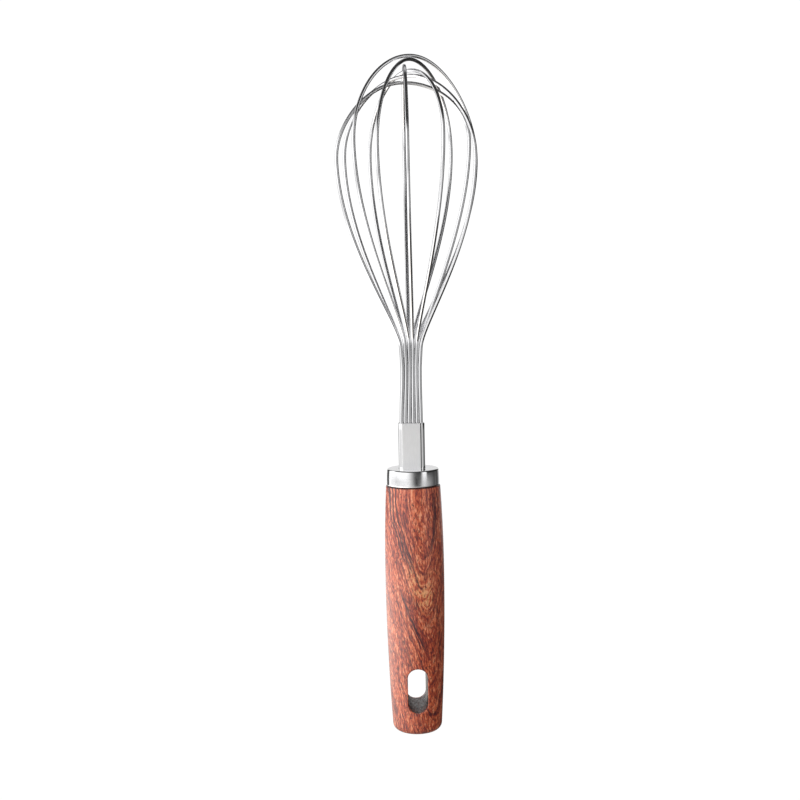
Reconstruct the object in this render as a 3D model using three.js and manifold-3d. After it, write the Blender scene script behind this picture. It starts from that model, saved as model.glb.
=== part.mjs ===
// A balloon whisk: a turned hardwood handle with a hanging slot, a polished end cap, a flat
// wire sleeve and six bent wire loops, with a resin plug that holds the wires in the handle.
//
// Millimetres. The origin is the centre of the flat butt end of the handle, +Z runs up the
// handle to the balloon, +X is to the right and +Y to the back. The hanging slot runs along Y.

import * as THREE from "three";
import { mergeVertices } from "three/addons/utils/BufferGeometryUtils.js";
import Module from "manifold-3d";

const wasm = await Module();
wasm.setup();

// ---- Driving dimensions ----------------------------------------------------------------

// Clear space between pieces that touch in the real whisk.
const GAP = 0.3;

// Handle: thickest at its belly, slimmer towards the butt and towards the shoulder.
const SHOULDER_HEIGHT = 106.2;
const BELLY_HEIGHT = 70;
const BUTT_RADIUS = 10.4;
const BELLY_RADIUS = 12.6;
const SHOULDER_RADIUS = 11.55;
const BUTT_ROUNDING = 3;
const SHOULDER_ROUNDING = 0.5;

// The turned-down spigot that the cap covers, and the blind bore for the wires.
const SPIGOT_RADIUS = 10;
const BORE_RADIUS = 7;
const BORE_FLOOR = 79;

// Hanging slot: an upright obround hole.
const SLOT_WIDTH = 8.5;
const SLOT_HEIGHT = 19.5;
const SLOT_CENTRE_HEIGHT = 19.5;

// End cap: a shallow drawn cup, a little wider at its rim than at its closed top.
const CAP_RIM_HEIGHT = SHOULDER_HEIGHT + GAP;
const CAP_TOP_HEIGHT = 113.4;
const CAP_RIM_RADIUS = 11.2;
const CAP_TOP_RADIUS = 11;
const CAP_WALL = 0.6;
const CAP_ROUNDING = 0.8;

// Wire sleeve: a flat tube that stands out of the cap, a little to the left of the axis.
const SLEEVE_SHIFT = -0.3;
const SLEEVE_WIDTH = 11.2;
const SLEEVE_DEPTH = 5.6;
const SLEEVE_CORNER = 2;
const SLEEVE_WALL = 0.5;
const SLEEVE_FOOT = 97;
const SLEEVE_RIM = 132.7;

// Wires: twelve legs stand in the sleeve in two rows of six.
const WIRE_RADIUS = 0.75;
const LEG_PITCH = 1.66;
const LEGS_PER_ROW = 6;
const ROW_OFFSET = 0.9;
const LEG_FOOT = 87;

// The legs run straight up to the neck, where the outer ones bend first, and then out into
// the balloon. The bend, the cone and the crown are Bezier curves, and the arms are the
// distances of their control points.
const NECK_HEIGHT = 167;
const NECK_STEP = 1.2;
const NECK_SHIFT = 0.15;
const NECK_ARM = 10;
const CONE_ARM = 35.7;
const CROWN_ARM = 15.6;

// One entry per loop, from the top of the crown down. Each loop runs from a leg of the front
// row to the opposite leg of the back row.
//   leg           place of its front leg in the row, 0 at the left
//   azimuth       direction of its front half from above, degrees from +X towards +Y
//   radius        half its width at its widest
//   shift         how far its widest part stands off the axis, along X
//   widest        height of its widest point
//   lift          how far the front half's widest point is above that, and the back's below
//   sideArm       length of the control arm that rises from its widest point
//   crown         height of the wire's centre at the crown
//   crownShift    how far its crown stands off the axis, along X
const LOOPS = [
  {
    leg: 1,
    azimuth: 208.5,
    radius: 29.7,
    shift: 4.1,
    widest: 246.7,
    lift: 2.5,
    sideArm: 18.7,
    crown: 285,
    crownShift: 3.3,
  },
  {
    leg: 2,
    azimuth: 236.5,
    radius: 30,
    shift: 3.8,
    widest: 247.3,
    lift: -1.3,
    sideArm: 19.7,
    crown: 283.35,
    crownShift: 3.4,
  },
  {
    leg: 3,
    azimuth: 269,
    radius: 30,
    shift: -0.4,
    widest: 246.8,
    lift: 0,
    sideArm: 16.9,
    crown: 280.6,
    crownShift: -0.5,
  },
  {
    leg: 4,
    azimuth: 298.5,
    radius: 29.9,
    shift: -0.8,
    widest: 248.3,
    lift: 1.7,
    sideArm: 17.6,
    crown: 278.65,
    crownShift: 0,
  },
  {
    leg: 5,
    azimuth: 332.5,
    radius: 30.1,
    shift: 0.6,
    widest: 243.9,
    lift: -1.4,
    sideArm: 16.8,
    crown: 276.9,
    crownShift: 0.6,
  },
  {
    leg: 0,
    azimuth: 183.5,
    radius: 27.8,
    shift: -1.5,
    widest: 247,
    lift: -3.3,
    sideArm: 12.9,
    crown: 274.1,
    crownShift: -1.1,
  },
];

// How finely curved surfaces are cut into flats.
const TURNED_SEGMENTS = 64;
const BODY_STEPS = 12;
const ARC_STEPS = 5;
const WIRE_SIDES = 10;
const CONE_STEPS = 18;
const CROWN_STEPS = 12;

// ---- Materials -------------------------------------------------------------------------

const hardwood = new THREE.MeshStandardMaterial({ color: 0x9c5a43, roughness: 0.45, metalness: 0 });
const polishedSteel = new THREE.MeshStandardMaterial({ color: 0xd8d8da, roughness: 0.12, metalness: 1 });
const satinSteel = new THREE.MeshStandardMaterial({ color: 0xc9c9cb, roughness: 0.35, metalness: 1 });
const wireSteel = new THREE.MeshStandardMaterial({ color: 0xd2d2d4, roughness: 0.2, metalness: 1 });
const resin = new THREE.MeshStandardMaterial({ color: 0x3a3430, roughness: 0.6, metalness: 0 });

// ---- Solids and booleans ---------------------------------------------------------------

// A closed geometry as a solid that can be cut.
function toSolid(geometry) {
  const bare = new THREE.BufferGeometry();
  bare.setAttribute("position", geometry.getAttribute("position"));
  bare.setIndex(geometry.getIndex());
  const welded = mergeVertices(bare);
  const corners = welded.getIndex().array;
  const kept = [];
  for (let i = 0; i < corners.length; i += 3) {
    const [a, b, c] = corners.slice(i, i + 3);
    if (a !== b && b !== c && c !== a) kept.push(a, b, c);
  }
  const vertProperties = new Float32Array(welded.getAttribute("position").array);
  const triVerts = new Uint32Array(kept);
  return new wasm.Manifold(new wasm.Mesh({ numProp: 3, vertProperties, triVerts }));
}

function toGeometry(solid) {
  const { vertProperties, triVerts } = solid.getMesh();
  const geometry = new THREE.BufferGeometry();
  geometry.setAttribute("position", new THREE.BufferAttribute(vertProperties, 3));
  geometry.setIndex(new THREE.BufferAttribute(triVerts, 1));
  geometry.computeVertexNormals();
  return geometry;
}

function cut(geometry, ...cutters) {
  const solid = cutters.reduce((left, cutter) => left.subtract(toSolid(cutter)), toSolid(geometry));
  return toGeometry(solid);
}

// ---- Outlines and simple bodies --------------------------------------------------------

// A body turned round the Z axis, from [radius, height] points.
function turned(profile) {
  const points = profile.map(([radius, height]) => new THREE.Vector2(radius, height));
  return new THREE.LatheGeometry(points, TURNED_SEGMENTS).rotateX(Math.PI / 2);
}

// Points on an arc of a turned profile, angles in degrees from the outward direction.
function arcPoints(centreRadius, centreHeight, radius, fromDegrees, toDegrees) {
  return Array.from({ length: ARC_STEPS + 1 }, (_, i) => {
    const angle = THREE.MathUtils.degToRad(fromDegrees + ((toDegrees - fromDegrees) * i) / ARC_STEPS);
    return [centreRadius + radius * Math.cos(angle), centreHeight + radius * Math.sin(angle)];
  });
}

// A rounded rectangle about the origin, drawn on a shape or on a hole's path.
function roundedRectangle(outline, width, depth, corner) {
  const x = width / 2 - corner;
  const y = depth / 2 - corner;
  const quarter = Math.PI / 2;
  outline.absarc(x, -y, corner, -quarter, 0);
  outline.absarc(x, y, corner, 0, quarter);
  outline.absarc(-x, y, corner, quarter, 2 * quarter);
  outline.absarc(-x, -y, corner, 2 * quarter, 3 * quarter);
  return outline;
}

// An upright bar with a rounded-rectangle section, between two heights on the sleeve's axis.
function sleeveBar(width, depth, corner, bottom, top) {
  const outline = roundedRectangle(new THREE.Shape(), width, depth, corner);
  const options = { depth: top - bottom, bevelEnabled: false, curveSegments: ARC_STEPS };
  return new THREE.ExtrudeGeometry(outline, options).translate(SLEEVE_SHIFT, 0, bottom);
}

// ---- Handle ----------------------------------------------------------------------------

// The handle's radius at a height: a flat parabola each side of the belly.
function handleRadius(height) {
  const endRadius = height < BELLY_HEIGHT ? BUTT_RADIUS : SHOULDER_RADIUS;
  const reach = height < BELLY_HEIGHT ? BELLY_HEIGHT : SHOULDER_HEIGHT - BELLY_HEIGHT;
  const part = (height - BELLY_HEIGHT) / reach;
  return BELLY_RADIUS - (BELLY_RADIUS - endRadius) * part ** 2;
}

function handleProfile() {
  const bodyBottom = BUTT_ROUNDING;
  const bodyTop = SHOULDER_HEIGHT - SHOULDER_ROUNDING;
  const spigotTop = CAP_TOP_HEIGHT - CAP_WALL - GAP;
  const body = Array.from({ length: BODY_STEPS - 1 }, (_, i) => {
    const height = bodyBottom + ((bodyTop - bodyBottom) * (i + 1)) / BODY_STEPS;
    return [handleRadius(height), height];
  });
  return [
    [0, 0],
    ...arcPoints(handleRadius(bodyBottom) - BUTT_ROUNDING, bodyBottom, BUTT_ROUNDING, -90, 0),
    ...body,
    ...arcPoints(handleRadius(bodyTop) - SHOULDER_ROUNDING, bodyTop, SHOULDER_ROUNDING, 0, 90),
    [SPIGOT_RADIUS, SHOULDER_HEIGHT],
    [SPIGOT_RADIUS, spigotTop],
    [BORE_RADIUS, spigotTop],
    [BORE_RADIUS, BORE_FLOOR],
    [0, BORE_FLOOR],
  ];
}

function handleGeometry() {
  const throughHandle = 3 * BELLY_RADIUS;
  const outline = roundedRectangle(new THREE.Shape(), SLOT_WIDTH, SLOT_HEIGHT, SLOT_WIDTH / 2);
  const slot = new THREE.ExtrudeGeometry(outline, {
    depth: throughHandle,
    bevelEnabled: false,
    curveSegments: 2 * ARC_STEPS,
  });
  slot.rotateX(Math.PI / 2).translate(0, throughHandle / 2, SLOT_CENTRE_HEIGHT);
  return cut(turned(handleProfile()), slot);
}

// ---- End cap ---------------------------------------------------------------------------

function capGeometry() {
  const innerTop = CAP_TOP_HEIGHT - CAP_WALL;
  const cup = turned([
    [0, innerTop],
    [CAP_TOP_RADIUS - CAP_WALL, innerTop],
    [CAP_RIM_RADIUS - CAP_WALL, CAP_RIM_HEIGHT],
    [CAP_RIM_RADIUS, CAP_RIM_HEIGHT],
    ...arcPoints(CAP_TOP_RADIUS - CAP_ROUNDING, CAP_TOP_HEIGHT - CAP_ROUNDING, CAP_ROUNDING, 0, 90),
    [0, CAP_TOP_HEIGHT],
  ]);
  const sleeveHole = sleeveBar(
    SLEEVE_WIDTH + 2 * GAP,
    SLEEVE_DEPTH + 2 * GAP,
    SLEEVE_CORNER + GAP,
    CAP_RIM_HEIGHT,
    CAP_TOP_HEIGHT + 1,
  );
  return cut(cup, sleeveHole);
}

// ---- Wire sleeve -----------------------------------------------------------------------

function sleeveGeometry() {
  const outline = roundedRectangle(new THREE.Shape(), SLEEVE_WIDTH, SLEEVE_DEPTH, SLEEVE_CORNER);
  const passage = roundedRectangle(
    new THREE.Path(),
    SLEEVE_WIDTH - 2 * SLEEVE_WALL,
    SLEEVE_DEPTH - 2 * SLEEVE_WALL,
    SLEEVE_CORNER - SLEEVE_WALL,
  );
  outline.holes.push(passage);
  const options = { depth: SLEEVE_RIM - SLEEVE_FOOT, bevelEnabled: false, curveSegments: ARC_STEPS };
  return new THREE.ExtrudeGeometry(outline, options).translate(SLEEVE_SHIFT, 0, SLEEVE_FOOT);
}

// ---- Resin plug ------------------------------------------------------------------------

// The plug fills the bore round the sleeve's foot and the bundle of legs under it.
function plugGeometry() {
  const radius = BORE_RADIUS - GAP;
  const bottom = BORE_FLOOR + GAP;
  const top = CAP_RIM_HEIGHT;
  const plug = new THREE.CylinderGeometry(radius, radius, top - bottom, TURNED_SEGMENTS);
  plug.rotateX(Math.PI / 2).translate(0, 0, (bottom + top) / 2);
  const sleeveSeat = sleeveBar(
    SLEEVE_WIDTH + 2 * GAP,
    SLEEVE_DEPTH + 2 * GAP,
    SLEEVE_CORNER + GAP,
    SLEEVE_FOOT - GAP,
    top + 1,
  );
  const bundleSeat = sleeveBar(
    (LEGS_PER_ROW - 1) * LEG_PITCH + 2 * (WIRE_RADIUS + GAP),
    2 * (ROW_OFFSET + WIRE_RADIUS + GAP),
    WIRE_RADIUS + GAP,
    LEG_FOOT - GAP,
    SLEEVE_FOOT,
  );
  return cut(plug, sleeveSeat, bundleSeat);
}

// ---- Wire loops ------------------------------------------------------------------------

// A path through fixed stations, which a swept section meets one after the other.
class StationPath extends THREE.Curve {
  constructor(stations) {
    super();
    this.stations = stations;
  }

  getPoint(t, target = new THREE.Vector3()) {
    const last = this.stations.length - 1;
    const place = t * last;
    const before = Math.min(Math.floor(place), last - 1);
    return target.lerpVectors(this.stations[before], this.stations[before + 1], place - before);
  }

  getUtoTmapping(u) {
    return u;
  }
}

// Half a loop, from the leg's foot in the handle up to the crown.
function halfLoop(loop, column, row, azimuthDegrees, lift) {
  const azimuth = THREE.MathUtils.degToRad(azimuthDegrees);
  const outward = new THREE.Vector3(Math.cos(azimuth), Math.sin(azimuth), 0);
  const up = new THREE.Vector3(0, 0, 1);
  const place = column - (LEGS_PER_ROW - 1) / 2;
  const legX = SLEEVE_SHIFT + place * LEG_PITCH;
  const neckX = NECK_SHIFT + place * LEG_PITCH;
  const legY = row * ROW_OFFSET;
  const neckHeight = NECK_HEIGHT - Math.abs(place) * NECK_STEP;

  const foot = new THREE.Vector3(legX, legY, LEG_FOOT);
  const mouth = new THREE.Vector3(legX, legY, SLEEVE_RIM);
  const neck = new THREE.Vector3(neckX, legY, neckHeight);
  const side = new THREE.Vector3(loop.shift, 0, loop.widest + lift);
  side.addScaledVector(outward, loop.radius);
  const crown = new THREE.Vector3(loop.crownShift, 0, loop.crown);

  const cone = new THREE.CubicBezierCurve3(
    neck,
    neck.clone().addScaledVector(up, NECK_ARM),
    side.clone().addScaledVector(up, -CONE_ARM),
    side,
  );
  const shoulder = new THREE.CubicBezierCurve3(
    side,
    side.clone().addScaledVector(up, loop.sideArm),
    crown.clone().addScaledVector(outward, CROWN_ARM),
    crown,
  );
  return [foot, mouth, ...cone.getPoints(CONE_STEPS), ...shoulder.getPoints(CROWN_STEPS).slice(1)];
}

function loopGeometry(loop) {
  const backColumn = LEGS_PER_ROW - 1 - loop.leg;
  const front = halfLoop(loop, loop.leg, -1, loop.azimuth, loop.lift);
  const back = halfLoop(loop, backColumn, 1, loop.azimuth + 180, -loop.lift);
  const path = new StationPath([...front, ...back.reverse().slice(1)]);
  const section = new THREE.Shape(
    Array.from({ length: WIRE_SIDES }, (_, i) => {
      const angle = (2 * Math.PI * i) / WIRE_SIDES;
      return new THREE.Vector2(WIRE_RADIUS * Math.cos(angle), WIRE_RADIUS * Math.sin(angle));
    }),
  );
  return new THREE.ExtrudeGeometry(section, { steps: path.stations.length - 1, extrudePath: path });
}

// ---- The whisk -------------------------------------------------------------------------

const whisk = new THREE.Group();

function addPiece(name, geometry, material) {
  const piece = new THREE.Mesh(geometry, material.clone());
  piece.name = name;
  whisk.add(piece);
}

addPiece("handle", handleGeometry(), hardwood);
addPiece("end_cap", capGeometry(), polishedSteel);
addPiece("wire_sleeve", sleeveGeometry(), satinSteel);
addPiece("resin_plug", plugGeometry(), resin);
LOOPS.forEach((loop, i) => addPiece(`wire_loop_${i + 1}`, loopGeometry(loop), wireSteel));

export default whisk;
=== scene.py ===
"""Looks of the balloon whisk: rosewood handle, polished cap, satin sleeve and six steel wire loops."""

import math

import bmesh
import bpy
from mathutils import Matrix, Vector


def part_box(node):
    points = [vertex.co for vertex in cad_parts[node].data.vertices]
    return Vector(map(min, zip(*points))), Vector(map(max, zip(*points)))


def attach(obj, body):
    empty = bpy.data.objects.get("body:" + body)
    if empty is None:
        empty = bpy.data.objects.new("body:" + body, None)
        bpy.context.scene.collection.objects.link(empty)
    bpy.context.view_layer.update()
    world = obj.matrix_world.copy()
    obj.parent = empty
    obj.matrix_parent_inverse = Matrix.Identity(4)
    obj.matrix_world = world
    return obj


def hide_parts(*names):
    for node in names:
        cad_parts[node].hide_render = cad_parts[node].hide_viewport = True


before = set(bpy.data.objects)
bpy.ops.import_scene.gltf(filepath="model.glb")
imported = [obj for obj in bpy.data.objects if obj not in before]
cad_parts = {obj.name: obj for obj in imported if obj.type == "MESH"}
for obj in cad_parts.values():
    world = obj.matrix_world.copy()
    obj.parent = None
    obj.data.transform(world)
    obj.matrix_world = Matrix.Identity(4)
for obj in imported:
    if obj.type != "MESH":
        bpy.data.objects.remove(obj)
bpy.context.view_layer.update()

MM = 0.001
BODY = "root"

# ---- Dimensions in millimetres ----------------------------------------------------------

# Handle, turned round Z with its butt at height 0.
SHOULDER_HEIGHT = 106.2
BELLY_HEIGHT = 70.0
BUTT_RADIUS = 10.4
BELLY_RADIUS = 12.6
SHOULDER_RADIUS = 11.55
BUTT_ROUNDING = 3.0
SHOULDER_ROUNDING = 0.5
SPIGOT_RADIUS = 10.0
SPIGOT_TOP = 112.5
BORE_RADIUS = 7.0
BORE_FLOOR = 79.0

# Hanging slot, an upright obround along Y with an eased edge.
SLOT_WIDTH = 8.5
SLOT_HEIGHT = 19.5
SLOT_CENTRE = 19.5
SLOT_EASING = 0.45
SLOT_RADIUS = SLOT_WIDTH / 2
SLOT_REACH = SLOT_HEIGHT / 2

# Cap, a drawn cup.
CAP_RIM_RADIUS = 11.2
CAP_TOP_RADIUS = 11.0
CAP_WALL = 0.6
CAP_ROUNDING = 0.7
CAP_RIM_ROUNDING = 0.15
CAP_BULGE = 0.07
CAP_HOLE_EASING = 0.1

# Sleeve, a flat tube.
SLEEVE_CORNER = 2.0
SLEEVE_WALL = 0.5
SLEEVE_RIM_ROUNDING = 0.12
SLEEVE_CLEARANCE = 0.06

WIRE_RADIUS = 0.75

# ---- Mesh helpers -----------------------------------------------------------------------

# Edges that turn by more than this stay sharp.
SHARP_DEGREES = 35


class Shell:
    """A mesh in the making: points in millimetres, and quads between rings of points."""

    def __init__(self):
        self.points = []
        self.faces = []

    def add(self, x, y, z):
        self.points.append((x * MM, y * MM, z * MM))
        return len(self.points) - 1

    def ring(self, points):
        return [self.add(*point) for point in points]

    def bridge(self, first, second):
        """Joins two closed rings, either of which may be a single point."""
        for i in range(max(len(first), len(second))):
            a, b = first[i % len(first)], first[(i + 1) % len(first)]
            c, d = second[(i + 1) % len(second)], second[i % len(second)]
            # A single point gives the same corner twice, and the quad becomes a triangle.
            self.faces.append(list(dict.fromkeys((a, b, c, d))))

    def skin(self, rings, closed=False):
        """Joins a row of rings, and the last to the first where the skin is closed."""
        for first, second in zip(rings, rings[1:]):
            self.bridge(first, second)
        if closed:
            self.bridge(rings[-1], rings[0])

    def build(self, name):
        mesh = bpy.data.meshes.new(name)
        mesh.from_pydata(self.points, [], self.faces)
        form = bmesh.new()
        form.from_mesh(mesh)
        bmesh.ops.recalc_face_normals(form, faces=form.faces)
        form.to_mesh(mesh)
        form.free()
        mesh.shade_smooth()
        mesh.set_sharp_from_angle(angle=math.radians(SHARP_DEGREES))
        piece = bpy.data.objects.new(name, mesh)
        bpy.context.scene.collection.objects.link(piece)
        return piece


def arc(centre_radius, centre_height, radius, start, end, steps):
    """Profile points on an arc, angles in degrees from the outward direction."""
    points = []
    for i in range(steps + 1):
        angle = math.radians(start + (end - start) * i / steps)
        points.append((centre_radius + radius * math.cos(angle), centre_height + radius * math.sin(angle)))
    return points


def mix(a, b, part):
    return a + (b - a) * part


# ---- Handle -----------------------------------------------------------------------------

COLUMNS = 160
ROW_STEP = 0.5
BUTT_RINGS = (0.35, 0.7)
BUTT_STEPS = 10
SHOULDER_STEPS = 5

# The grid opens round the slot, this many columns to each side and this far above and below it.
SLOT_COLUMNS = 18
SLOT_MARGIN = 4.25
SURROUND_RINGS = 10
EASING_STEPS = 5
TUNNEL_RINGS = 16


def handle_radius(height):
    """A flat parabola each side of the belly."""
    if height < BELLY_HEIGHT:
        part, end = (BELLY_HEIGHT - height) / BELLY_HEIGHT, BUTT_RADIUS
    else:
        part, end = (height - BELLY_HEIGHT) / (SHOULDER_HEIGHT - BELLY_HEIGHT), SHOULDER_RADIUS
    return BELLY_RADIUS - (BELLY_RADIUS - end) * part**2


def handle_profile():
    """(radius, height) points from the butt's centre, up the outside and down into the bore."""
    low, high = BUTT_ROUNDING, SHOULDER_HEIGHT - SHOULDER_ROUNDING
    low_centre = handle_radius(low) - BUTT_ROUNDING
    high_centre = handle_radius(high) - SHOULDER_ROUNDING
    profile = [(0.0, 0.0)]
    profile += [(low_centre * part, 0.0) for part in BUTT_RINGS]
    profile += arc(low_centre, low, BUTT_ROUNDING, -90, 0, BUTT_STEPS)
    rows = round((high - low) / ROW_STEP)
    for i in range(1, rows):
        height = mix(low, high, i / rows)
        profile.append((handle_radius(height), height))
    profile += arc(high_centre, high, SHOULDER_ROUNDING, 0, 90, SHOULDER_STEPS)
    profile += [
        (SPIGOT_RADIUS, SHOULDER_HEIGHT),
        (SPIGOT_RADIUS, SPIGOT_TOP),
        (BORE_RADIUS, SPIGOT_TOP),
        (BORE_RADIUS, BORE_FLOOR),
        (0.0, BORE_FLOOR),
    ]
    return profile


def slot_edge(x, z):
    """The point of the slot's outline that faces (x, z), and its outward normal."""
    straight = SLOT_REACH - SLOT_RADIUS
    level = max(-straight, min(straight, z - SLOT_CENTRE))
    normal = Vector((x, z - SLOT_CENTRE - level)).normalized()
    return Vector((0, SLOT_CENTRE + level)) + normal * SLOT_RADIUS, normal


def slot_rings(shell, frame_points, side):
    """Rings from the frame of the lathe grid in to the slot's wall. side is -1 in front and 1 behind."""

    def on_surface(x, z, depth=0.0):
        return (x, side * (math.sqrt(handle_radius(z) ** 2 - x**2) - depth), z)

    edges = [slot_edge(x, z) for x, z in frame_points]
    rings = []
    for k in range(1, SURROUND_RINGS):
        part = k / SURROUND_RINGS
        ring = []
        for (x, z), (edge, normal) in zip(frame_points, edges):
            rim = edge + normal * SLOT_EASING
            ring.append(on_surface(mix(x, rim.x, part), mix(z, rim.y, part)))
        rings.append(shell.ring(ring))
    for k in range(EASING_STEPS + 1):
        turn = math.radians(90 * k / EASING_STEPS)
        out, depth = SLOT_EASING * (1 - math.sin(turn)), SLOT_EASING * (1 - math.cos(turn))
        ring = []
        for edge, normal in edges:
            place = edge + normal * out
            ring.append(on_surface(place.x, place.y, depth))
        rings.append(shell.ring(ring))
    return rings


def column_place(column):
    """How many columns it is from the middle of the nearer slot mouth, counted along +X."""
    near_front = (column + COLUMNS // 2) % COLUMNS - COLUMNS // 2
    near_back = COLUMNS // 2 - column
    return near_front if abs(near_front) <= COLUMNS // 4 else near_back


def handle_piece():
    """A lathe grid that leaves out a window round each slot mouth, two surrounds and the tunnel."""
    shell = Shell()
    profile = handle_profile()
    outside = [i for i, (radius, height) in enumerate(profile) if radius > BORE_RADIUS]

    def row_at(wanted):
        return min(outside, key=lambda i: abs(profile[i][1] - wanted))

    low = row_at(SLOT_CENTRE - SLOT_REACH - SLOT_MARGIN)
    high = row_at(SLOT_CENTRE + SLOT_REACH + SLOT_MARGIN)

    rows = []
    for i, (radius, height) in enumerate(profile):
        if radius == 0:
            rows.append([shell.add(0, 0, height)])
            continue
        row = []
        for column in range(COLUMNS):
            in_slot = low < i < high and abs(column_place(column)) < SLOT_COLUMNS
            angle = 2 * math.pi * column / COLUMNS
            point = (radius * math.sin(angle), -radius * math.cos(angle), height)
            row.append(None if in_slot else shell.add(*point))
        rows.append(row)

    for i, (row, above) in enumerate(zip(rows, rows[1:])):
        if not low <= i < high:
            shell.bridge(row, above)
            continue
        for column in range(COLUMNS):
            following = (column + 1) % COLUMNS
            places = (abs(column_place(column)), abs(column_place(following)))
            if max(places) > SLOT_COLUMNS:
                shell.faces.append([row[column], row[following], above[following], above[column]])

    # The window's border as (row, column) pairs, once round it.
    span = SLOT_COLUMNS
    border = [(low, c) for c in range(-span, span)]
    border += [(i, span) for i in range(low, high)]
    border += [(high, c) for c in range(span, -span, -1)]
    border += [(i, -span) for i in range(high, low, -1)]
    step = 2 * math.pi / COLUMNS
    frame_points = [(profile[i][0] * math.sin(c * step), profile[i][1]) for i, c in border]

    mouths = []
    for side in (-1, 1):
        grid = [rows[i][c % COLUMNS if side < 0 else (COLUMNS // 2 - c) % COLUMNS] for i, c in border]
        mouth = [grid] + slot_rings(shell, frame_points, side)
        shell.skin(mouth)
        mouths.append(mouth[-1])

    front, back = mouths
    tunnel = [front]
    for k in range(1, TUNNEL_RINGS):
        ring = []
        for a, b in zip(front, back):
            start, end = Vector(shell.points[a]) / MM, Vector(shell.points[b]) / MM
            ring.append(start.lerp(end, k / TUNNEL_RINGS)[:])
        tunnel.append(shell.ring(ring))
    shell.skin(tunnel + [back])
    return shell.build("handle_wood")


# ---- Cap and sleeve ---------------------------------------------------------------------

TURN_STEPS = 240
HALVINGS = 40
CAP_TOP_RINGS = (0.25, 0.5, 0.75)
CAP_ROUNDING_STEPS = 8
CAP_WALL_STEPS = 12
CAP_RIM_STEPS = 4
SLEEVE_ROWS = 12
SLEEVE_RIM_STEPS = 4


def flat_tube_radius(angle, width, depth, corner):
    """Distance from the centre to a rounded rectangle's outline, in the direction of angle."""
    across, along = abs(math.cos(angle)), abs(math.sin(angle))
    inside, outside = 0.0, width + depth
    for _ in range(HALVINGS):
        middle = (inside + outside) / 2
        x, y = middle * across - (width / 2 - corner), middle * along - (depth / 2 - corner)
        distance = math.hypot(max(x, 0), max(y, 0)) + min(max(x, y), 0) - corner
        if distance < 0:
            inside = middle
        else:
            outside = middle
    return inside


def flat_ring(centre_x, width, depth, corner, height):
    points = []
    for i in range(TURN_STEPS):
        angle = 2 * math.pi * i / TURN_STEPS
        reach = flat_tube_radius(angle, width, depth, corner)
        points.append((centre_x + reach * math.cos(angle), reach * math.sin(angle), height))
    return points


def round_ring(radius, height, steps=TURN_STEPS):
    points = []
    for i in range(steps):
        angle = 2 * math.pi * i / steps
        points.append((radius * math.cos(angle), radius * math.sin(angle), height))
    return points


def box_in_mm(node):
    low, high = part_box(node)
    return low / MM, high / MM


def sleeve_size():
    """The sleeve's centre along X, its width, depth, foot and rim."""
    low, high = box_in_mm("wire_sleeve")
    return (low.x + high.x) / 2, high.x - low.x, high.y - low.y, low.z, high.z


def cap_piece():
    shell = Shell()
    low, high = box_in_mm("end_cap")
    bottom, top = low.z, high.z
    centre_x, width, depth, _, _ = sleeve_size()

    def hole(grow, height):
        return flat_ring(centre_x, width + 2 * grow, depth + 2 * grow, SLEEVE_CORNER + grow, height)

    mouth = hole(SLEEVE_CLEARANCE + CAP_HOLE_EASING, top)
    rings = [hole(SLEEVE_CLEARANCE, top - CAP_HOLE_EASING), mouth]
    flat_radius = CAP_TOP_RADIUS - CAP_ROUNDING
    rim = round_ring(flat_radius, top)
    for part in CAP_TOP_RINGS:
        rings.append([tuple(mix(a, b, part) for a, b in zip(p, q)) for p, q in zip(mouth, rim)])
    outside = arc(flat_radius, top - CAP_ROUNDING, CAP_ROUNDING, 90, 0, CAP_ROUNDING_STEPS)
    for k in range(1, CAP_WALL_STEPS):
        part = k / CAP_WALL_STEPS
        bulge = CAP_BULGE * 4 * part * (1 - part)
        radius = mix(CAP_TOP_RADIUS, CAP_RIM_RADIUS, part) + bulge
        outside.append((radius, mix(top - CAP_ROUNDING, bottom, part)))
    rim_centre = CAP_RIM_RADIUS - CAP_RIM_ROUNDING
    outside += arc(rim_centre, bottom + CAP_RIM_ROUNDING, CAP_RIM_ROUNDING, 0, -90, CAP_RIM_STEPS)
    inner_radius = CAP_RIM_RADIUS - CAP_WALL
    outside += [(inner_radius, bottom), (CAP_TOP_RADIUS - CAP_WALL, top - CAP_WALL)]
    rings += [round_ring(radius, height) for radius, height in outside]
    rings.append(hole(SLEEVE_CLEARANCE, top - CAP_WALL))
    shell.skin([shell.ring(points) for points in rings], closed=True)
    return shell.build("end_cap_steel")


def sleeve_piece():
    shell = Shell()
    centre_x, width, depth, foot, rim = sleeve_size()

    def outline(inset, height):
        corner = SLEEVE_CORNER - inset
        return flat_ring(centre_x, width - 2 * inset, depth - 2 * inset, corner, height)

    shoulder = rim - SLEEVE_RIM_ROUNDING
    rings = [outline(0, mix(foot, shoulder, k / SLEEVE_ROWS)) for k in range(SLEEVE_ROWS + 1)]
    for k in range(1, SLEEVE_RIM_STEPS + 1):
        turn = math.radians(90 * k / SLEEVE_RIM_STEPS)
        inset = SLEEVE_RIM_ROUNDING * (1 - math.cos(turn))
        rings.append(outline(inset, rim - SLEEVE_RIM_ROUNDING * (1 - math.sin(turn))))
    for k in range(SLEEVE_RIM_STEPS + 1):
        turn = math.radians(90 * k / SLEEVE_RIM_STEPS)
        inset = SLEEVE_WALL - SLEEVE_RIM_ROUNDING * (1 - math.sin(turn))
        rings.append(outline(inset, rim - SLEEVE_RIM_ROUNDING * (1 - math.cos(turn))))
    rings.append(outline(SLEEVE_WALL, foot))
    shell.skin([shell.ring(points) for points in rings], closed=True)
    return shell.build("wire_sleeve_steel")


# ---- Wires ------------------------------------------------------------------------------

WIRE_SIDES = 20
WIRE_SUBSTEPS = 4
WELD_DISTANCE = 0.01
FOOT_BAND = 0.1


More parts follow.
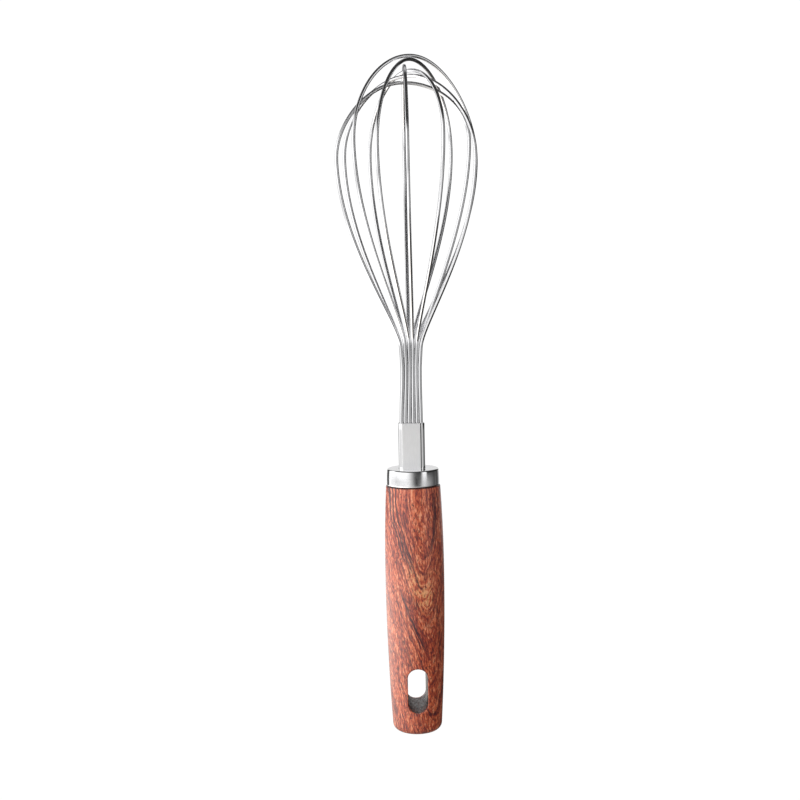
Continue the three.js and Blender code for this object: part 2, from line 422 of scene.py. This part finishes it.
def centre_line(node):
    """The stations of a wire's centre line in millimetres, read from the rings of its CAD body.

    It starts at the foot of the front leg and takes each ring's neighbours as the next ring.
    """
    form = bmesh.new()
    form.from_mesh(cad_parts[node].data)
    bmesh.ops.remove_doubles(form, verts=form.verts, dist=WELD_DISTANCE * MM)
    lowest = min(vertex.co.z for vertex in form.verts)
    ring = [v for v in form.verts if v.co.z < lowest + FOOT_BAND * MM and v.co.y < 0]
    seen = set(ring)
    stations = []
    while ring:
        total = sum((vertex.co for vertex in ring), Vector())
        stations.append(total / len(ring) / MM)
        following = {edge.other_vert(v) for v in ring for edge in v.link_edges} - seen
        seen |= following
        ring = list(following)
    form.free()
    return stations


def smoothed(stations):
    """A finer line through the stations, with a tangent at each that favours its shorter side."""
    tangents = []
    for i, point in enumerate(stations):
        before = point - stations[i - 1] if i else None
        after = stations[i + 1] - point if i + 1 < len(stations) else None
        if before is None or after is None:
            tangents.append((after or before).normalized())
        else:
            blend = before.normalized() / before.length + after.normalized() / after.length
            tangents.append(blend.normalized())
    line = []
    for start, end, leaving, arriving in zip(stations, stations[1:], tangents, tangents[1:]):
        span = (end - start).length
        for k in range(WIRE_SUBSTEPS):
            t = k / WIRE_SUBSTEPS
            line.append(
                start * (2 * t**3 - 3 * t**2 + 1)
                + leaving * span * (t**3 - 2 * t**2 + t)
                + end * (3 * t**2 - 2 * t**3)
                + arriving * span * (t**3 - t**2)
            )
    line.append(stations[-1])
    return line


def wire_piece(node):
    """A round wire along the CAD wire's centre line, with flat ends."""
    line = smoothed(centre_line(node))
    shell = Shell()
    across = Vector((1, 0, 0))
    rings = []
    lengths = [0.0]
    for i, point in enumerate(line):
        along = (line[min(i + 1, len(line) - 1)] - line[max(i - 1, 0)]).normalized()
        across = (across - along * across.dot(along)).normalized()
        side = along.cross(across)
        ring = []
        for k in range(WIRE_SIDES):
            angle = 2 * math.pi * k / WIRE_SIDES
            offset = across * math.cos(angle) + side * math.sin(angle)
            ring.append((point + offset * WIRE_RADIUS)[:])
        rings.append(shell.ring(ring))
        if i:
            lengths.append(lengths[-1] + (point - line[i - 1]).length)
    shell.skin(rings)
    shell.faces.append(rings[0])
    shell.faces.append(rings[-1])
    piece = shell.build(node + "_steel")
    mark_length(piece.data, lengths)
    return piece


def mark_length(mesh, lengths):
    """Stores, for the drawn finish, how far each point is along the wire, in millimetres."""
    attribute = mesh.attributes.new("along", "FLOAT", "POINT")
    for i, length in enumerate(lengths):
        for k in range(WIRE_SIDES):
            attribute.data[i * WIRE_SIDES + k].value = length


# ---- Materials --------------------------------------------------------------------------


class Nodes:
    """A node tree that is written as nested calls: an input may be a value or another node's output."""

    def __init__(self, tree):
        self.tree = tree
        self.tree.nodes.clear()

    def add(self, kind, inputs=None, **settings):
        node = self.tree.nodes.new(kind)
        for name, value in settings.items():
            setattr(node, name, value)
        for name, value in (inputs or {}).items():
            if isinstance(value, bpy.types.NodeSocket):
                self.tree.links.new(value, node.inputs[name])
            else:
                node.inputs[name].default_value = value
        return node

    def math(self, operation, a, b=0.0):
        return self.add("ShaderNodeMath", {0: a, 1: b}, operation=operation).outputs[0]

    def product(self, *values):
        result = values[0]
        for value in values[1:]:
            result = self.math("MULTIPLY", result, value)
        return result

    def total(self, *terms):
        """The sum of the terms, each of which is a value and its weight."""
        result = self.math("MULTIPLY", *terms[0])
        for value, weight in terms[1:]:
            result = self.math("ADD", result, self.math("MULTIPLY", value, weight))
        return result

    def combine(self, x, y, z):
        return self.add("ShaderNodeCombineXYZ", {0: x, 1: y, 2: z}).outputs[0]

    def stretched(self, x, y, z, across, along):
        """The place for a noise that is as fine as across in x and y, and as along in z."""
        parts = ((x, across), (y, across), (z, along))
        return self.combine(*(self.math("MULTIPLY", value, scale) for value, scale in parts))

    def noise(self, vector, scale=1.0, detail=2.0, roughness=0.5):
        inputs = {"Vector": vector, "Scale": scale, "Detail": detail, "Roughness": roughness}
        return self.add("ShaderNodeTexNoise", inputs).outputs["Fac"]

    def ranged(self, value, low, high, to_low=0.0, to_high=1.0, smooth=True):
        kind = "SMOOTHSTEP" if smooth else "LINEAR"
        inputs = {"Value": value, "From Min": low, "From Max": high, "To Min": to_low, "To Max": to_high}
        return self.add("ShaderNodeMapRange", inputs, interpolation_type=kind).outputs[0]

    def near(self, value, centre, inner, outer, strength=1.0):
        """strength within inner of the centre, and nothing beyond outer."""
        off = self.math("ABSOLUTE", self.math("SUBTRACT", value, centre))
        return self.ranged(off, inner, outer, strength, 0.0)

    def ramp(self, value, stops):
        node = self.add("ShaderNodeValToRGB", {0: value})
        elements = node.color_ramp.elements
        while len(elements) < len(stops):
            elements.new(0.5)
        for element, (place, _) in zip(elements, stops):
            element.position = place
        for element, (_, colour) in zip(elements, stops):
            element.color = (*colour, 1.0)
        return node.outputs["Color"]

    def mix_colour(self, part, first, second):
        node = self.add("ShaderNodeMix", {0: part}, data_type="RGBA")
        for index, colour in ((6, first), (7, second)):
            if isinstance(colour, bpy.types.NodeSocket):
                self.tree.links.new(colour, node.inputs[index])
            else:
                node.inputs[index].default_value = (*colour, 1.0)
        return node.outputs[2]

    def finish_with(self, inputs, height, bump_depth):
        """Ends the tree in a surface with a bump, in millimetres, that any lacquer on it follows too."""
        bump = self.add("ShaderNodeBump", {"Height": height, "Distance": bump_depth * MM}).outputs[0]
        inputs = inputs | {"Normal": bump}
        if "Coat Weight" in inputs:
            inputs["Coat Normal"] = bump
        surface = self.add("ShaderNodeBsdfPrincipled", inputs)
        self.add("ShaderNodeOutputMaterial", {"Surface": surface.outputs[0]})


def new_material(name):
    material = bpy.data.materials.new(name)
    material.use_nodes = True
    return material, Nodes(material.node_tree)


def position_mm(nodes):
    """The point's place on the object in millimetres, as a vector and as x, y, z."""
    place = nodes.add("ShaderNodeTexCoord").outputs["Object"]
    scaled = nodes.add("ShaderNodeVectorMath", {0: place, "Scale": 1 / MM}, operation="SCALE").outputs[0]
    split = nodes.add("ShaderNodeSeparateXYZ", {0: scaled})
    return scaled, split.outputs[0], split.outputs[1], split.outputs[2]


# The fibres of the wood drift to the side by GRAIN_DRIFT per millimetre of height, and wander.
GRAIN_DRIFT = 0.05
GRAIN_MIDDLE = 45.0
GRAIN_SWAY = 3.2

# The figure of the wood: nested V-shaped curves that open upwards and run through the handle from
# front to back. The figure is measured in millimetres across the curves. It is 0 on the curve whose
# tip is 9 mm above FIGURE_MIDDLE, and grows outwards and downwards from there.
FIGURE_CENTRE = 4.7
FIGURE_ANGLE = math.radians(15.5)
FIGURE_TIP = 2.5
FIGURE_MIDDLE = 50.0
FIGURE_WAVE = 1.8

# Above BEND_HEIGHT the figure's curves straighten up towards the shoulder.
BEND_HEIGHT = 79.5
BEND = 0.0063

# The values of a noise that are spread out to 0 and 1.
BAND_RANGE = (0.36, 0.64)
LINE_RANGE = (0.38, 0.62)
PORE_RANGE = (0.57, 0.64)

# A golden flame between the arms of the V, and a lighter streak from there up to the shoulder. The
# places across are measured from FIGURE_CENTRE, and the heights are where each fades in or out.
FLAME_FIGURE = 0.3
FLAME_ACROSS = -1.8
FLAME_FOOT = (50.0, 60.0)
FLAME_TOP = (72.0, 80.0)
LIGHT_ACROSS = -0.5
LIGHT_FOOT = (76.0, 84.0)

# Dark veins that follow the figure: (place on the figure, half width, strength, side, foot, top),
# where side is -1 for the left arm of the curve, 1 for the right arm and 0 for both.
VEINS = [
    (6.8, 0.50, 1.0, -1, 37.0, 64.0),
    (7.7, 0.28, 0.7, -1, 36.0, 50.0),
    (1.1, 0.42, 1.0, -1, 74.0, 120.0),
    (0.0, 0.40, 1.0, -1, 70.0, 120.0),
    (-1.4, 0.36, 1.0, -1, 74.0, 120.0),
    (-0.9, 0.32, 0.9, -1, 60.0, 84.0),
    (-4.0, 0.62, 0.9, 1, 78.0, 104.0),
    (-2.8, 0.28, 0.5, 0, 64.0, 110.0),
    (3.0, 0.26, 0.5, 0, 40.0, 78.0),
    (9.8, 0.30, 0.6, -1, 24.0, 60.0),
    (13.4, 0.36, 0.6, 0, 0.0, 44.0),
    (17.5, 0.30, 0.5, 0, -20.0, 30.0),
]

# Dark streaks straight along the fibres of the front: (place across, half width, strength, foot, top).
STREAKS = [
    (9.2, 0.7, 0.8, 30.0, 60.0),
    (9.9, 0.5, 0.7, -10.0, 24.0),
    (-7.6, 0.3, 0.5, 10.0, 40.0),
]

WOOD_COLOURS = [
    (0.16, (0.13, 0.015, 0.013)),
    (0.36, (0.28, 0.037, 0.019)),
    (0.52, (0.45, 0.078, 0.029)),
    (0.68, (0.60, 0.142, 0.057)),
    (0.88, (0.75, 0.29, 0.155)),
]
GOLD = (0.72, 0.38, 0.15)
VEIN_COLOUR = (0.045, 0.009, 0.016)
PORE_COLOUR = (0.06, 0.010, 0.008)
# Painted shade: the near-black of the wood inside the slot and the bore.
SLOT_SHADE_COLOUR = (0.022, 0.014, 0.013)
# Painted shade: the dark line in the gap where the cap sits on the shoulder.
JOINT_SHADE_COLOUR = (0.03, 0.008, 0.006)
LACQUER = 0.85


class Wood:
    """The coordinates that the pattern of the wood is drawn in, and the noises and lines on them."""

    def __init__(self, n):
        self.n = n
        self.place, self.x, self.y, self.z = position_mm(n)
        wander = n.add("ShaderNodeTexNoise", {"Vector": self.place, "Scale": 0.035, "Detail": 2.0})
        sway = n.add("ShaderNodeSeparateXYZ", {0: wander.outputs["Color"]})
        drift = n.math("MULTIPLY", n.math("SUBTRACT", self.z, GRAIN_MIDDLE), GRAIN_DRIFT)
        sway_x = n.math("MULTIPLY", n.math("SUBTRACT", sway.outputs[0], 0.5), GRAIN_SWAY)
        sway_y = n.math("MULTIPLY", n.math("SUBTRACT", sway.outputs[1], 0.5), GRAIN_SWAY)
        self.fibre_x = n.math("ADD", n.math("ADD", self.x, drift), sway_x)
        self.fibre_y = n.math("ADD", self.y, sway_y)

        self.side = n.math("SUBTRACT", self.fibre_x, FIGURE_CENTRE)
        tip = n.math("SQRT", n.math("ADD", n.math("MULTIPLY", self.side, self.side), FIGURE_TIP**2))
        over = n.math("MAXIMUM", n.math("SUBTRACT", self.z, BEND_HEIGHT), 0.0)
        bend = n.product(over, over, BEND)
        above_middle = n.math("SUBTRACT", self.z, FIGURE_MIDDLE)
        rise = n.math("SUBTRACT", n.math("MULTIPLY", above_middle, math.sin(FIGURE_ANGLE)), bend)
        even = n.math("SUBTRACT", n.math("MULTIPLY", tip, math.cos(FIGURE_ANGLE)), rise)
        wave = n.math("SUBTRACT", n.noise(self.place, 0.16, 3.0, 0.55), 0.5)
        self.figure = n.math("ADD", even, n.math("MULTIPLY", wave, FIGURE_WAVE))

    def noise(self, across, deep, length, offset, **settings):
        """Streaks length millimetres long. across and deep are (place, fineness), offset picks a pattern."""
        n = self.n
        vector = n.combine(
            n.math("ADD", n.math("MULTIPLY", *across), offset),
            n.math("MULTIPLY", *deep),
            n.math("DIVIDE", self.z, length),
        )
        return n.noise(vector, **settings)

    def fibre_noise(self, fineness, length, offset, **settings):
        """Streaks along the fibres."""
        return self.noise((self.fibre_x, fineness), (self.fibre_y, fineness), length, offset, **settings)

    def figure_noise(self, fineness, length, offset, **settings):
        """Streaks that follow the figure."""
        return self.noise((self.figure, fineness), (self.y, 1 / 9), length, offset, **settings)

    def faded(self, line, foot, top):
        """Fades a line out towards its foot and its top."""
        rising = self.n.ranged(self.z, foot - 2, foot + 4)
        falling = self.n.ranged(self.z, top - 4, top + 2, 1.0, 0.0)
        return self.n.product(line, rising, falling)

    def veins(self):
        """The dark veins and streaks, each of which comes and goes along its length."""
        n = self.n
        darkest = 0.0
        for k, (centre, half_width, strength, arm, foot, top) in enumerate(VEINS):
            line = n.near(self.figure, centre, half_width * 0.5, half_width * 1.1, strength)
            across, height = n.math("DIVIDE", self.x, 20.0), n.math("DIVIDE", self.z, 9.0)
            along = n.noise(n.combine(across, 7.0 * k, height))
            line = self.faded(n.math("MULTIPLY", line, n.ranged(along, 0.28, 0.44, 0.45, 1.0)), foot, top)
            if arm:
                line = n.math("MULTIPLY", line, n.ranged(n.math("MULTIPLY", self.side, arm), 0.0, 1.5))
            darkest = n.math("MAXIMUM", line, darkest)
        on_front = n.ranged(self.y, 0.0, 3.0, 1.0, 0.0)
        for k, (centre, half_width, strength, foot, top) in enumerate(STREAKS):
            line = n.near(self.fibre_x, centre, 0.0, half_width, strength)
            along = n.noise(n.combine(0.0, 5.0 * k, n.math("DIVIDE", self.z, 4.0)))
            line = self.faded(n.math("MULTIPLY", line, n.ranged(along, 0.40, 0.56)), foot, top)
            darkest = n.math("MAXIMUM", n.math("MULTIPLY", line, on_front), darkest)
        return darkest

    def in_slot(self):
        """1 on the walls of the slot and the bore, which are nearer the axis than the outside is."""
        n = self.n
        squares = n.math("ADD", n.math("MULTIPLY", self.x, self.x), n.math("MULTIPLY", self.y, self.y))
        inside = n.ranged(n.math("SQRT", squares), BUTT_RADIUS - 0.7, BUTT_RADIUS, 1.0, 0.0)
        above_butt = n.ranged(self.z, 4.0, 6.0)
        return n.math("MULTIPLY", inside, above_butt)


def rosewood():
    """Lacquered reddish hardwood with a V-shaped figure, short light flecks and dark veins."""
    material, n = new_material("rosewood")
    wood = Wood(n)
    bands = n.ranged(wood.figure_noise(0.55, 30.0, offset=0.0, detail=3.0, roughness=0.6), *BAND_RANGE)
    lines = n.ranged(wood.figure_noise(1.7, 14.0, offset=11.0), *LINE_RANGE)
    streaks = n.ranged(wood.fibre_noise(1.5, 16.0, offset=20.0, roughness=0.6), *LINE_RANGE)
    fleck_field = wood.noise((wood.figure, 2.2), (wood.fibre_y, 2.2), 3.2, offset=50.0, roughness=0.6)
    flecks = n.ranged(fleck_field, *LINE_RANGE)
    fibres = n.ranged(wood.fibre_noise(2.4, 2.0, offset=90.0, detail=1.0), *LINE_RANGE)
    flame = n.product(
        n.near(wood.figure, FLAME_FIGURE, 0.5, 3.5),
        n.near(wood.side, FLAME_ACROSS, 3.0, 6.5),
        n.ranged(wood.z, *FLAME_TOP, 1.0, 0.0),
        n.ranged(wood.z, *FLAME_FOOT),
    )
    lighter = n.product(n.near(wood.side, LIGHT_ACROSS, 1.5, 4.0), n.ranged(wood.z, *LIGHT_FOOT))
    tone = n.total(
        (bands, 0.12),
        (lines, 0.24),
        (streaks, 0.20),
        (flecks, 0.20),
        (fibres, 0.24),
        (flame, 0.12),
        (lighter, 0.09),
    )
    colour = n.ramp(tone, WOOD_COLOURS)
    golden = n.math("MULTIPLY", flame, n.ranged(fleck_field, 0.46, 0.58, 0.0, 0.6))
    colour = n.mix_colour(golden, colour, GOLD)

    # Flecks show through the veins.
    veins = n.math("MULTIPLY", wood.veins(), n.ranged(fleck_field, 0.40, 0.62, 1.0, 0.75))
    colour = n.mix_colour(n.math("MULTIPLY", veins, 0.95), colour, VEIN_COLOUR)

    # Open pores: short dark dashes along the grain.
    pores = n.ranged(wood.fibre_noise(2.4, 1.4, offset=140.0, detail=1.0), *PORE_RANGE)
    colour = n.mix_colour(n.math("MULTIPLY", pores, 0.75), colour, PORE_COLOUR)

    # Painted shade: inside the slot the wood is painted much darker. Its lacquer is thinner there, above all
    # on the left and at the front, and patchy.
    in_slot = wood.in_slot()
    colour = n.mix_colour(n.math("MULTIPLY", in_slot, 0.8), colour, SLOT_SHADE_COLOUR)
    thin = n.ranged(wood.x, -3.0, 4.2, 0.72, 0.0, smooth=False)
    thin = n.math("ADD", thin, n.ranged(wood.y, -10.0, -3.0, 0.40, 0.0, smooth=False))
    thin = n.math("ADD", thin, n.ranged(n.noise(wood.place, 0.9, 3.0, 0.6), 0.40, 0.60, -0.35, 0.25))

    # Painted shade: a dark line where the cap sits on the shoulder, standing in for the shade in the gap
    # between them.
    joint_shade = n.ranged(wood.z, SHOULDER_HEIGHT - 0.5, SHOULDER_HEIGHT - 0.15)
    colour = n.mix_colour(n.math("MULTIPLY", joint_shade, 0.8), colour, JOINT_SHADE_COLOUR)

    relief = n.total((flecks, 0.5), (fibres, 0.25), (pores, -0.8))
    n.finish_with(
        {
            "Base Color": colour,
            "Roughness": n.ranged(fleck_field, 0.3, 0.7, 0.62, 0.50),
            "Specular IOR Level": 0.25,
            "Coat Weight": n.math("SUBTRACT", LACQUER, n.math("MULTIPLY", in_slot, thin)),
            "Coat Roughness": 0.22,
            "Coat IOR": 1.7,
        },
        relief,
        bump_depth=0.05,
    )
    return material


# The darker and the lighter shade of each steel finish and of the resin, by the noise that mottles
# it. WIRE_EDGE tints what the wire mirrors at a grazing angle.
POLISHED_SHADES = [(0.35, (0.80, 0.80, 0.81)), (0.65, (0.90, 0.90, 0.905))]
SATIN_SHADES = [(0.3, (0.81, 0.81, 0.815)), (0.7, (0.89, 0.89, 0.895))]
WORN_SHADE = (0.84, 0.84, 0.845)
WIRE_SHADES = [(0.3, (0.76, 0.76, 0.77)), (0.7, (0.86, 0.86, 0.87))]
WIRE_EDGE = (0.4, 0.4, 0.41, 1.0)
RESIN_SHADES = [(0.3, (0.035, 0.028, 0.024)), (0.7, (0.075, 0.06, 0.05))]

# How far the change from satin to polish reaches at the sleeve's left and right corners.
SOFT_WEAR = 0.9
SHARP_WEAR = 0.1


def polished_steel():
    """Stainless steel turned and polished bright, with faint rings round its axis."""
    material, n = new_material("polished_steel")
    place, x, y, z = position_mm(n)
    rings = n.noise(n.stretched(x, y, z, across=0.2, along=5.0))
    smears = n.noise(place, 0.35, 3.0, 0.55)
    n.finish_with(
        {
            "Base Color": n.ramp(n.total((rings, 0.5), (smears, 0.5)), POLISHED_SHADES),
            "Metallic": 1.0,
            "Roughness": n.ranged(smears, 0.35, 0.65, 0.10, 0.16),
        },
        rings,
        bump_depth=0.003,
    )
    return material


def satin_steel():
    """Stainless steel brushed lengthwise, with its corners rubbed bright."""
    material, n = new_material("satin_steel")
    _, x, y, z = position_mm(n)
    centre_x, width, *_ = sleeve_size()
    lines = n.noise(n.stretched(x, y, z, across=9.0, along=0.35), detail=3.0)
    flat_half = width / 2 - SLEEVE_CORNER
    left, right = n.math("SUBTRACT", centre_x, x), n.math("SUBTRACT", x, centre_x)
    worn_left = n.ranged(left, flat_half, flat_half + SOFT_WEAR)
    worn_right = n.ranged(right, flat_half - SHARP_WEAR, flat_half + SHARP_WEAR)
    polish = n.math("MAXIMUM", worn_left, worn_right)
    n.finish_with(
        {
            "Base Color": n.mix_colour(worn_left, n.ramp(lines, SATIN_SHADES), WORN_SHADE),
            "Metallic": n.ranged(polish, 0.0, 1.0, 0.74, 1.0),
            "Roughness": n.ranged(polish, 0.0, 1.0, 0.62, 0.08),
            "Anisotropic": n.ranged(polish, 0.0, 1.0, 0.6, 0.0),
            "Tangent": n.add("ShaderNodeTangent", direction_type="RADIAL", axis="Z").outputs[0],
        },
        lines,
        bump_depth=0.002,
    )
    return material


def wire_steel():
    """Drawn stainless wire: lengthwise die lines and a slow change of polish along the wire."""
    material, n = new_material("wire_steel")
    along = n.add("ShaderNodeAttribute", attribute_name="along").outputs["Fac"]
    _, x, y, _ = position_mm(n)
    lines = n.noise(n.stretched(x, y, along, across=7.0, along=0.25))
    polish = n.noise(n.combine(n.math("MULTIPLY", along, 0.08), 0.0, 0.0))
    n.finish_with(
        {
            "Base Color": n.ramp(lines, WIRE_SHADES),
            "Metallic": 1.0,
            "Specular Tint": WIRE_EDGE,
            "Roughness": n.ranged(polish, 0.3, 0.7, 0.08, 0.14),
        },
        lines,
        bump_depth=0.004,
    )
    return material


def resin():
    """Dark cast resin, a little glossy, with small bubbles."""
    material, n = new_material("bonding_resin")
    place, *_ = position_mm(n)
    cloud = n.noise(place, 0.6, 4.0, 0.6)
    bubble = n.add("ShaderNodeTexVoronoi", {"Vector": place, "Scale": 1.1}).outputs["Distance"]
    n.finish_with(
        {
            "Base Color": n.ramp(cloud, RESIN_SHADES),
            "Roughness": n.ranged(cloud, 0.3, 0.7, 0.35, 0.6),
        },
        n.ranged(bubble, 0.1, 0.3),
        bump_depth=0.1,
    )
    return material


def dress(piece, material):
    piece.data.materials.clear()
    piece.data.materials.append(material)


# ---- The whisk --------------------------------------------------------------------------


def stand_for(piece, node, material):
    """Makes a piece the visible form of a CAD node."""
    dress(piece, material)
    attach(piece, BODY)
    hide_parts(node)


wire = wire_steel()

stand_for(handle_piece(), "handle", rosewood())
stand_for(cap_piece(), "end_cap", polished_steel())
stand_for(sleeve_piece(), "wire_sleeve", satin_steel())
for node in sorted(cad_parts):
    if node.startswith("wire_loop"):
        stand_for(wire_piece(node), node, wire)
dress(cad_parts["resin_plug"], resin())

# ---- Floor, light and camera ------------------------------------------------------------

WHITE = (1.0, 1.0, 1.0, 1.0)

FLOOR_DROP = 60.0
FLOOR_RADII = (100, 200, 300, 400, 500)
FLOOR_STEPS = 96
FLOOR_SHADES = [(0.3, (0.84, 0.84, 0.84)), (0.7, (0.87, 0.87, 0.87))]
FLOOR_GLOW = 1.02
FLOOR_GLOW_PART = 0.88

# Painted light: the floor glows for the whisk, bright on the left where it is lit from and dim on the right.
PAINTED_LIGHT_LEFT = -300.0
PAINTED_LIGHT_RIGHT = 120.0
PAINTED_LIGHT_DIM = 0.1
PAINTED_LIGHT_STRENGTH = 2.8
PAINTED_LIGHT_COLOUR = (1.0, 0.965, 0.91, 1.0)


def floor_piece():
    """A disc that is near-white to the camera, and to the whisk a glow of painted light that is bright on
    the left.
    """
    shell = Shell()
    rings = [[shell.add(0, 0, -FLOOR_DROP)]]
    rings += [shell.ring(round_ring(radius, -FLOOR_DROP, FLOOR_STEPS)) for radius in FLOOR_RADII]
    shell.skin(rings)
    floor = shell.build("floor")
    material, n = new_material("pale_floor")
    place, x, *_ = position_mm(n)
    speckle = n.ramp(n.noise(place, 0.05, 3.0), FLOOR_SHADES)
    matt = n.add("ShaderNodeBsdfDiffuse", {"Color": speckle}).outputs[0]
    glow = n.add("ShaderNodeEmission", {"Color": WHITE, "Strength": FLOOR_GLOW}).outputs[0]
    shown = n.add("ShaderNodeMixShader", {0: FLOOR_GLOW_PART, 1: matt, 2: glow}).outputs[0]
    # Painted light: the floor's glow for all rays but the camera's, fading from the left to the right.
    part = n.ranged(x, PAINTED_LIGHT_LEFT, PAINTED_LIGHT_RIGHT, 1.0, PAINTED_LIGHT_DIM, smooth=False)
    spill = n.product(part, part, PAINTED_LIGHT_STRENGTH)
    painted_light = n.add("ShaderNodeEmission", {"Color": PAINTED_LIGHT_COLOUR, "Strength": spill}).outputs[0]
    seen = n.add("ShaderNodeLightPath").outputs["Is Camera Ray"]
    both = n.add("ShaderNodeMixShader", {0: seen, 1: painted_light, 2: shown}).outputs[0]
    n.add("ShaderNodeOutputMaterial", {"Surface": both})
    dress(floor, material)


# What the steel reflects, by direction: 0 degrees is towards the camera, positive to the right.
# Each line is (degrees, brightness). HIGH holds above the horizon, LOW just below it and
# GROUND further down.
STUDIO_GROUND = [
    (-180, 0.60),
    (-155, 2.00),
    (-110, 2.00),
    (-60, 1.80),
    (-20, 1.10),
    (30, 0.55),
    (80, 0.12),
    (120, 0.03),
    (165, 0.03),
    (180, 0.60),
]
STUDIO_LOW = [
    (-180, 0.82),
    (-161, 0.82),
    (-156, 0.03),
    (-136, 0.03),
    (-127, 1.30),
    (-99, 0.95),
    (-78, 0.78),
    (-48, 0.94),
    (-30, 0.92),
    (-18, 0.86),
    (-8, 0.52),
    (3, 0.20),
    (12, 0.04),
    (20, 0.12),
    (30, 0.22),
    (39, 0.66),
    (50, 0.72),
    (64, 0.46),
    (84, 0.25),
    (104, 0.08),
    (112, 0.14),
    (130, 0.05),
    (142, 0.30),
    (154, 0.82),
    (180, 0.82),
]
STUDIO_HIGH = [
    (-180, 0.80),
    (-161, 0.80),
    (-156, 0.03),
    (-134, 0.03),
    (-125, 1.50),
    (-40, 1.50),
    (-22, 1.10),
    (-8, 0.55),
    (4, 0.14),
    (20, 0.06),
    (34, 0.07),
    (43, 1.20),
    (57, 1.20),
    (63, 0.02),
    (146, 0.02),
    (156, 0.80),
    (180, 0.80),
]

# The panels' colours are parts of this brightness.
BRIGHTEST = 2.0

# Elevations in degrees between which one list fades into the next.
GROUND_TO_LOW = (-14, -10)
LOW_TO_HIGH = (-8, 1)

# The panels end at FRONT_TOP in front and BACK_TOP behind, which fade into each other on the sides.
FRONT_TOP = 25
BACK_TOP = 58
FRONT_TO_BACK = (80, 150)
TOP_FADE = 8

# The ceiling is dim, but brighter where one steel face is mirrored in another. A ray that has been
# mirrored once has a depth of 2 here, and one that has been mirrored again has more.
CEILING = 0.05
CEILING_IN_STEEL = 1.50
MIRRORED_DEPTH = 2.5

# What lights the wood: an even glow and a soft key light from the left.
GLOW = 0.72
KEY = 1.85
KEY_DEGREES = -75

BACKDROP = 1.05


def studio_light():
    """Soft panels all round, a dim ceiling, and a plain white background for the camera."""
    world = bpy.data.worlds.new("studio")
    world.use_nodes = True
    bpy.context.scene.world = world
    n = Nodes(world.node_tree)
    toward = n.add("ShaderNodeSeparateXYZ", {0: n.add("ShaderNodeTexCoord").outputs["Generated"]})
    bearing = n.math("ARCTAN2", toward.outputs[0], n.math("MULTIPLY", toward.outputs[1], -1.0))
    turn = n.math("ADD", n.math("DIVIDE", bearing, 2 * math.pi), 0.5)
    level = n.math("ARCSINE", toward.outputs[2])

    def grey(light):
        return (light / BRIGHTEST,) * 3

    def panels(studio):
        return n.ramp(turn, [((degrees + 180) / 360, grey(light)) for degrees, light in studio])

    def fade(value, degrees, to_low=0.0, to_high=1.0):
        return n.ranged(value, math.radians(degrees[0]), math.radians(degrees[1]), to_low, to_high)

    around = n.mix_colour(fade(level, GROUND_TO_LOW), panels(STUDIO_GROUND), panels(STUDIO_LOW))
    around = n.mix_colour(fade(level, LOW_TO_HIGH), around, panels(STUDIO_HIGH))
    tops = (math.radians(FRONT_TOP), math.radians(BACK_TOP))
    top = fade(n.math("ABSOLUTE", bearing), FRONT_TO_BACK, *tops)
    above = fade(n.math("SUBTRACT", level, top), (-TOP_FADE, TOP_FADE))
    path = n.add("ShaderNodeLightPath")
    mirrored = n.math("GREATER_THAN", path.outputs["Ray Depth"], MIRRORED_DEPTH)
    ceiling = n.mix_colour(mirrored, grey(CEILING), grey(CEILING_IN_STEEL))
    colour = n.mix_colour(above, around, ceiling)
    shine = n.add("ShaderNodeBackground", {"Color": colour, "Strength": BRIGHTEST}).outputs[0]

    facing_key = n.math("COSINE", n.math("SUBTRACT", bearing, math.radians(KEY_DEGREES)))
    key = n.math("MULTIPLY", n.math("MAXIMUM", facing_key, 0.0), KEY)
    soft = n.add("ShaderNodeBackground", {"Color": WHITE, "Strength": n.math("ADD", key, GLOW)}).outputs[0]
    backdrop = n.add("ShaderNodeBackground", {"Color": WHITE, "Strength": BACKDROP}).outputs[0]

    lit = n.add("ShaderNodeMixShader", {0: path.outputs["Is Diffuse Ray"], 1: shine, 2: soft}).outputs[0]
    both = n.add("ShaderNodeMixShader", {0: path.outputs["Is Camera Ray"], 1: lit, 2: backdrop}).outputs[0]
    n.add("ShaderNodeOutputWorld", {"Surface": both})


# The camera stands close in front, a little to the left, and looks slightly down. Its angles are in
# degrees, and CAMERA_NEAR and CAMERA_FAR in metres.
CAMERA_PLACE = (-21.4, -505.3, 185.4)
CAMERA_AZIMUTH = 1.874
CAMERA_PITCH = 4.856
CAMERA_ROLL = -1.144
CAMERA_LENS = 54.0
CAMERA_SENSOR = 36.0
CAMERA_NEAR = 0.02
CAMERA_FAR = 20.0


def camera():
    data = bpy.data.cameras.new("camera")
    data.lens = CAMERA_LENS
    data.sensor_width = CAMERA_SENSOR
    data.clip_start = CAMERA_NEAR
    data.clip_end = CAMERA_FAR
    eye = bpy.data.objects.new("camera", data)
    aim = Matrix.Rotation(math.radians(-CAMERA_AZIMUTH), 4, "Z")
    tilt = Matrix.Rotation(math.radians(90 - CAMERA_PITCH), 4, "X")
    roll = Matrix.Rotation(math.radians(CAMERA_ROLL), 4, "Z")
    eye.matrix_world = Matrix.Translation(Vector(CAMERA_PLACE) * MM) @ aim @ tilt @ roll
    bpy.context.scene.collection.objects.link(eye)
    bpy.context.scene.camera = eye


floor_piece()
studio_light()
camera()
bpy.context.scene.view_settings.view_transform = "Standard"
